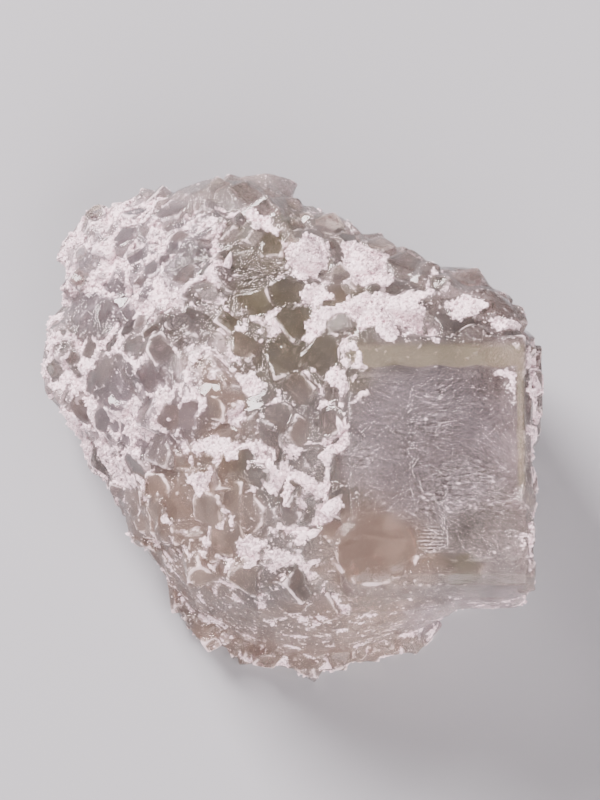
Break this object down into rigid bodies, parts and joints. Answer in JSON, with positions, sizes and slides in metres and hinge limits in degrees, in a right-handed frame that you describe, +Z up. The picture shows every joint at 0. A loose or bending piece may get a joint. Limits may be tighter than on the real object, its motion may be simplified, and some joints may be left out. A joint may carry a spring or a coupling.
{
  "type": "fluorite with quartz",
  "caption": "Palm-sized cluster of intergrown clear grey-green fluorite crystals with patches of white drusy quartz, lying on its flat broken back.",
  "frame": {"origin": "under the middle of the cluster, on the resting face", "axes": "+Z up, out of the crystal side; +X to the right of the big flat crystal face; -Y towards the smooth broken side"},
  "size_m": [0.048, 0.0476, 0.0246],
  "materials": {
    "fluorite": "glassy to satin crystal faces, see-through with a cloudy grey-green body",
    "quartz": "matt white sugary crust of tiny quartz points"
  },
  "bodies": {
    "root": {"fluorite_cluster": "fluorite"}
  },
  "joints": []
}
